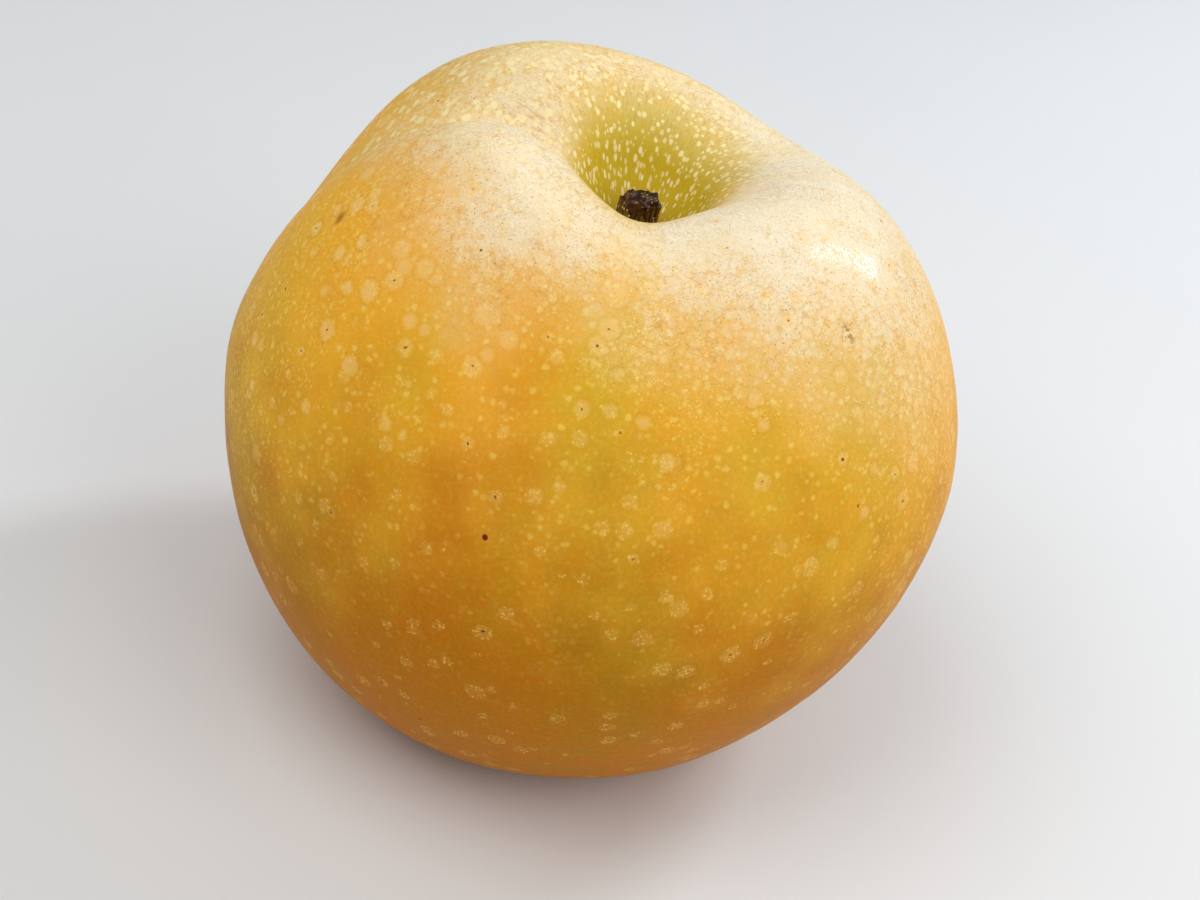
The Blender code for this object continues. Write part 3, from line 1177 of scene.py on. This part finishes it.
@dataclass
class Stalk:
    """The short stalk, ridged along its length and broken at its end."""

    form: FruitForm = field(default_factory=FruitForm)
    finish: StalkFinish = field(default_factory=StalkFinish)
    length: float = 20.0 * MM
    foot_radius: float = 2.3 * MM
    waist_radius: float = 2.1 * MM
    end_radius: float = 2.8 * MM
    thick_end: float = 4.5 * MM     # length of the thickened end
    taper_middle: float = 7 * MM    # from the end, half way to the waist's radius
    taper_end: float = 10 * MM      # from the end
    foot_length: float = 4 * MM     # from the foot to the waist
    bevel: float = 0.7 * MM
    bend: float = 0.3 * MM
    cut_slope: float = 0.3
    seat_gap: float = 0.3 * MM
    ridges: int = 7
    ridge_depth: float = 0.035      # shares of the radius
    grain_depth: float = 0.1
    chip_depth: float = 0.1
    shrink: float = 0.02            # evens out what ridges and chips add
    chip_sizes: Pair = (1.1 * MM, 0.5 * MM)
    chip_height: float = 0.5 * MM   # along the stalk
    chip_loss: float = 0.6 * MM
    ridged_from: Pair = (0.12, 0.2)     # shares of the length
    cut_from: Pair = (0.7, 1.0)
    broken_from: Pair = (0.86, 1.0)
    steps: int = 96
    pitch: float = 0.2 * MM

    def foot(self) -> float:
        """Give the height of the stalk's foot."""
        return self.form.hollow_floor - self.form.socket_depth + self.seat_gap

    def outline(self) -> list[Pair]:
        """Give the outline of the straight stalk, from its top down to its foot."""
        foot = self.foot()
        top = foot + self.length
        return [
            (0.0, top),
            (self.end_radius - self.bevel, top),
            (self.end_radius - 0.3 * self.bevel, top - 0.7 * self.bevel),
            (self.end_radius, top - 2 * self.bevel),
            (self.end_radius, top - self.thick_end),
            ((self.end_radius + self.waist_radius) / 2, top - self.taper_middle),
            (self.waist_radius, top - self.taper_end),
            (self.waist_radius, foot + self.foot_length),
            (self.foot_radius, foot + self.form.socket_depth),
            (self.foot_radius, foot),
            (0.0, foot),
        ]

    def grown(self, point: Vector) -> Vector:
        """Move one point of the straight stalk to its place.

        Args:
            point: The point on the turned stalk.

        Returns:
            Its place, ridged, bent and broken.
        """
        share = (point.z - self.foot()) / self.length
        radius = math.hypot(point.x, point.y)
        azimuth = math.atan2(point.y, point.x)
        grain = Vector((math.cos(azimuth), math.sin(azimuth), 3 * share))
        ridge = self.ridge_depth * math.cos(self.ridges * azimuth + 3 * share)
        ridge += self.grain_depth * noise.noise(grain) - self.shrink
        radius *= 1 + ridge * ease(*self.ridged_from, share)
        near_end = ease(*self.broken_from, share)
        coarse, fine = (noise.noise(point / size) for size in self.chip_sizes)
        chips = coarse + 0.6 * fine
        radius *= 1 + (self.chip_depth * chips - self.shrink) * near_end
        side_x, side_y = self.form.sway(point.z)
        cut = -self.cut_slope * point.y * ease(*self.cut_from, share)
        rough = (self.chip_height * chips - self.chip_loss) * near_end
        return Vector((
            radius * math.cos(azimuth) + side_x + self.bend * share * share,
            radius * math.sin(azimuth) + side_y,
            point.z + cut + rough,
        ))

    def build(self, middle: Vector) -> bpy.types.Object:
        """Build the stalk.

        Args:
            middle: The middle of the fruit's footprint before it was centred.

        Returns:
            The object.
        """
        body = turned(spaced(self.outline(), self.pitch), self.steps)
        for vertex in body.verts:
            vertex.co = self.grown(vertex.co) - middle
        material = self.finish.make((self.foot() + self.length) / MM)
        piece = shown("stalk_wood", body, material)
        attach(piece, "root")
        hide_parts("stalk")
        return piece


# ------------------------------------------------------------ light and camera


class Glow(Enum):
    """The colour of a lamp."""

    DAY = (1.0, 0.985, 0.96)
    SKY = (0.9, 0.95, 1.0)


@dataclass(frozen=True)
class Lamp:
    """A soft box that shines on the fruit."""

    name: str
    place: tuple[float, float, float]
    size: Pair
    power: float
    glow: Glow
    turn: float = 0.0       # about its own axis, in degrees

    def hang(self, aim: Vector) -> bpy.types.Object:
        """Hang the lamp so that it faces a point.

        Args:
            aim: The point it faces.

        Returns:
            The lamp.
        """
        light = bpy.data.lights.new(self.name, "AREA")
        light.shape = "RECTANGLE"
        light.size, light.size_y = self.size
        light.energy = self.power
        light.color = self.glow.value
        lamp = bpy.data.objects.new(self.name, light)
        lamp.location = self.place
        away = Vector(self.place) - aim
        facing = away.to_track_quat("Z", "Y") @ Quaternion((0, 0, 1), math.radians(self.turn))
        lamp.rotation_euler = facing.to_euler()
        bpy.context.scene.collection.objects.link(lamp)
        return lamp


@dataclass(frozen=True)
class Studio:
    """A plain pale floor under soft daylight."""

    floor_radius: float = 3.0
    floor_tone: float = 0.78
    floor_darkest: float = 0.97     # share of the tone in the floor's darker clouds
    cloud_size: float = 60.0        # mm
    sky: float = 0.4
    sky_colour: Colour = (0.92, 0.96, 1.0, 1.0)
    lamps: tuple[Lamp, ...] = (
        Lamp("key", (0.375, 0.31, 0.4), (0.32, 0.08), 1.5, Glow.SKY, 88.0),
        Lamp("top", (-0.27, -0.17, 0.64), (0.5, 0.5), 2.0, Glow.DAY),
        Lamp("side", (0.5, -0.35, 0.5), (0.6, 0.6), 1.88, Glow.DAY),
    )

    def floor(self) -> bpy.types.Object:
        """Lay the floor.

        Returns:
            The floor, marked as stage.
        """
        book = NodeBook("floor_matt")
        place = book.object_mm()
        cloud = book.cloud(place, self.cloud_size)
        low = (self.floor_tone * self.floor_darkest,) * 3 + (1.0,)
        high = (self.floor_tone,) * 3 + (1.0,)
        colour = book.blend(cloud, low, high)
        normal = book.relief(cloud, 0.02)
        material = book.finish(colour, cloud * 0.05 + 0.6, normal, {})
        disc = bmesh.new()
        bmesh.ops.create_circle(disc, cap_ends=True, segments=96, radius=self.floor_radius)
        floor = shown("floor", disc, material)
        return floor

    def light(self) -> None:
        """Set the sky and hang the lamps."""
        world = bpy.data.worlds.new("sky")
        world.use_nodes = True
        background = world.node_tree.nodes["Background"]
        background.inputs["Color"].default_value = self.sky_colour
        background.inputs["Strength"].default_value = self.sky
        bpy.context.scene.world = world
        aim = (CAD_BOX[0] + CAD_BOX[1]) / 2
        for lamp in self.lamps:
            lamp.hang(aim)


@dataclass(frozen=True)
class Viewpoint:
    """Where the fruit is seen from: above its front, turned a little."""

    elevation: float = 35.0
    roll: float = 11.5
    distance: float = 280 * MM
    target: tuple[float, float, float] = (0.55 * MM, -0.64 * MM, 42.1 * MM)
    pixels_per_mm: float = 7.1      # at the target's distance
    centre_pixel: Pair = (592.0, 425.0)
    frame_pixels: Pair = (1200.0, 900.0)
    sensor_width: float = 36.0      # of the camera, mm
    nearest: float = 0.01           # what is closer to the camera isn't shown

    def place(self) -> bpy.types.Object:
        """Place the camera.

        Returns:
            The scene's camera.
        """
        rise = math.radians(self.elevation)
        back = Vector((0, -math.cos(rise), math.sin(rise)))
        right = Vector((1, 0, 0))
        turn = Matrix.Rotation(math.radians(self.roll), 3, back)
        right = turn @ right
        up = back.cross(right)
        matrix = Matrix((right, up, back)).transposed().to_4x4()
        matrix.translation = Vector(self.target) + back * self.distance
        width, height = self.frame_pixels
        data = bpy.data.cameras.new("view")
        data.sensor_width = self.sensor_width
        focal_pixels = self.pixels_per_mm * self.distance / MM
        data.lens = focal_pixels * self.sensor_width / width
        data.shift_x = (width / 2 - self.centre_pixel[0]) / width
        data.shift_y = (self.centre_pixel[1] - height / 2) / width
        data.clip_start = self.nearest
        camera = bpy.data.objects.new("view", data)
        camera.matrix_world = matrix
        bpy.context.scene.collection.objects.link(camera)
        bpy.context.scene.camera = camera
        return camera


def report(piece: bpy.types.Object) -> None:
    """Log one piece's name and size."""
    sizes = ", ".join(f"{side / MM:.1f}" for side in piece.dimensions)
    LOG.info("%s: %d faces, %s mm", piece.name, len(piece.data.polygons), sizes)


def main() -> None:
    """Build the pieces, the studio and the view in order."""
    logging.basicConfig(level=logging.INFO, format="%(name)s: %(message)s")
    bpy.context.scene.view_settings.view_transform = "Standard"
    fruit, middle = Fruit().build()
    report(fruit)
    report(Stalk().build(middle))
    studio = Studio()
    studio.floor()
    studio.light()
    Viewpoint().place()


if __name__ == "__main__":
    main()
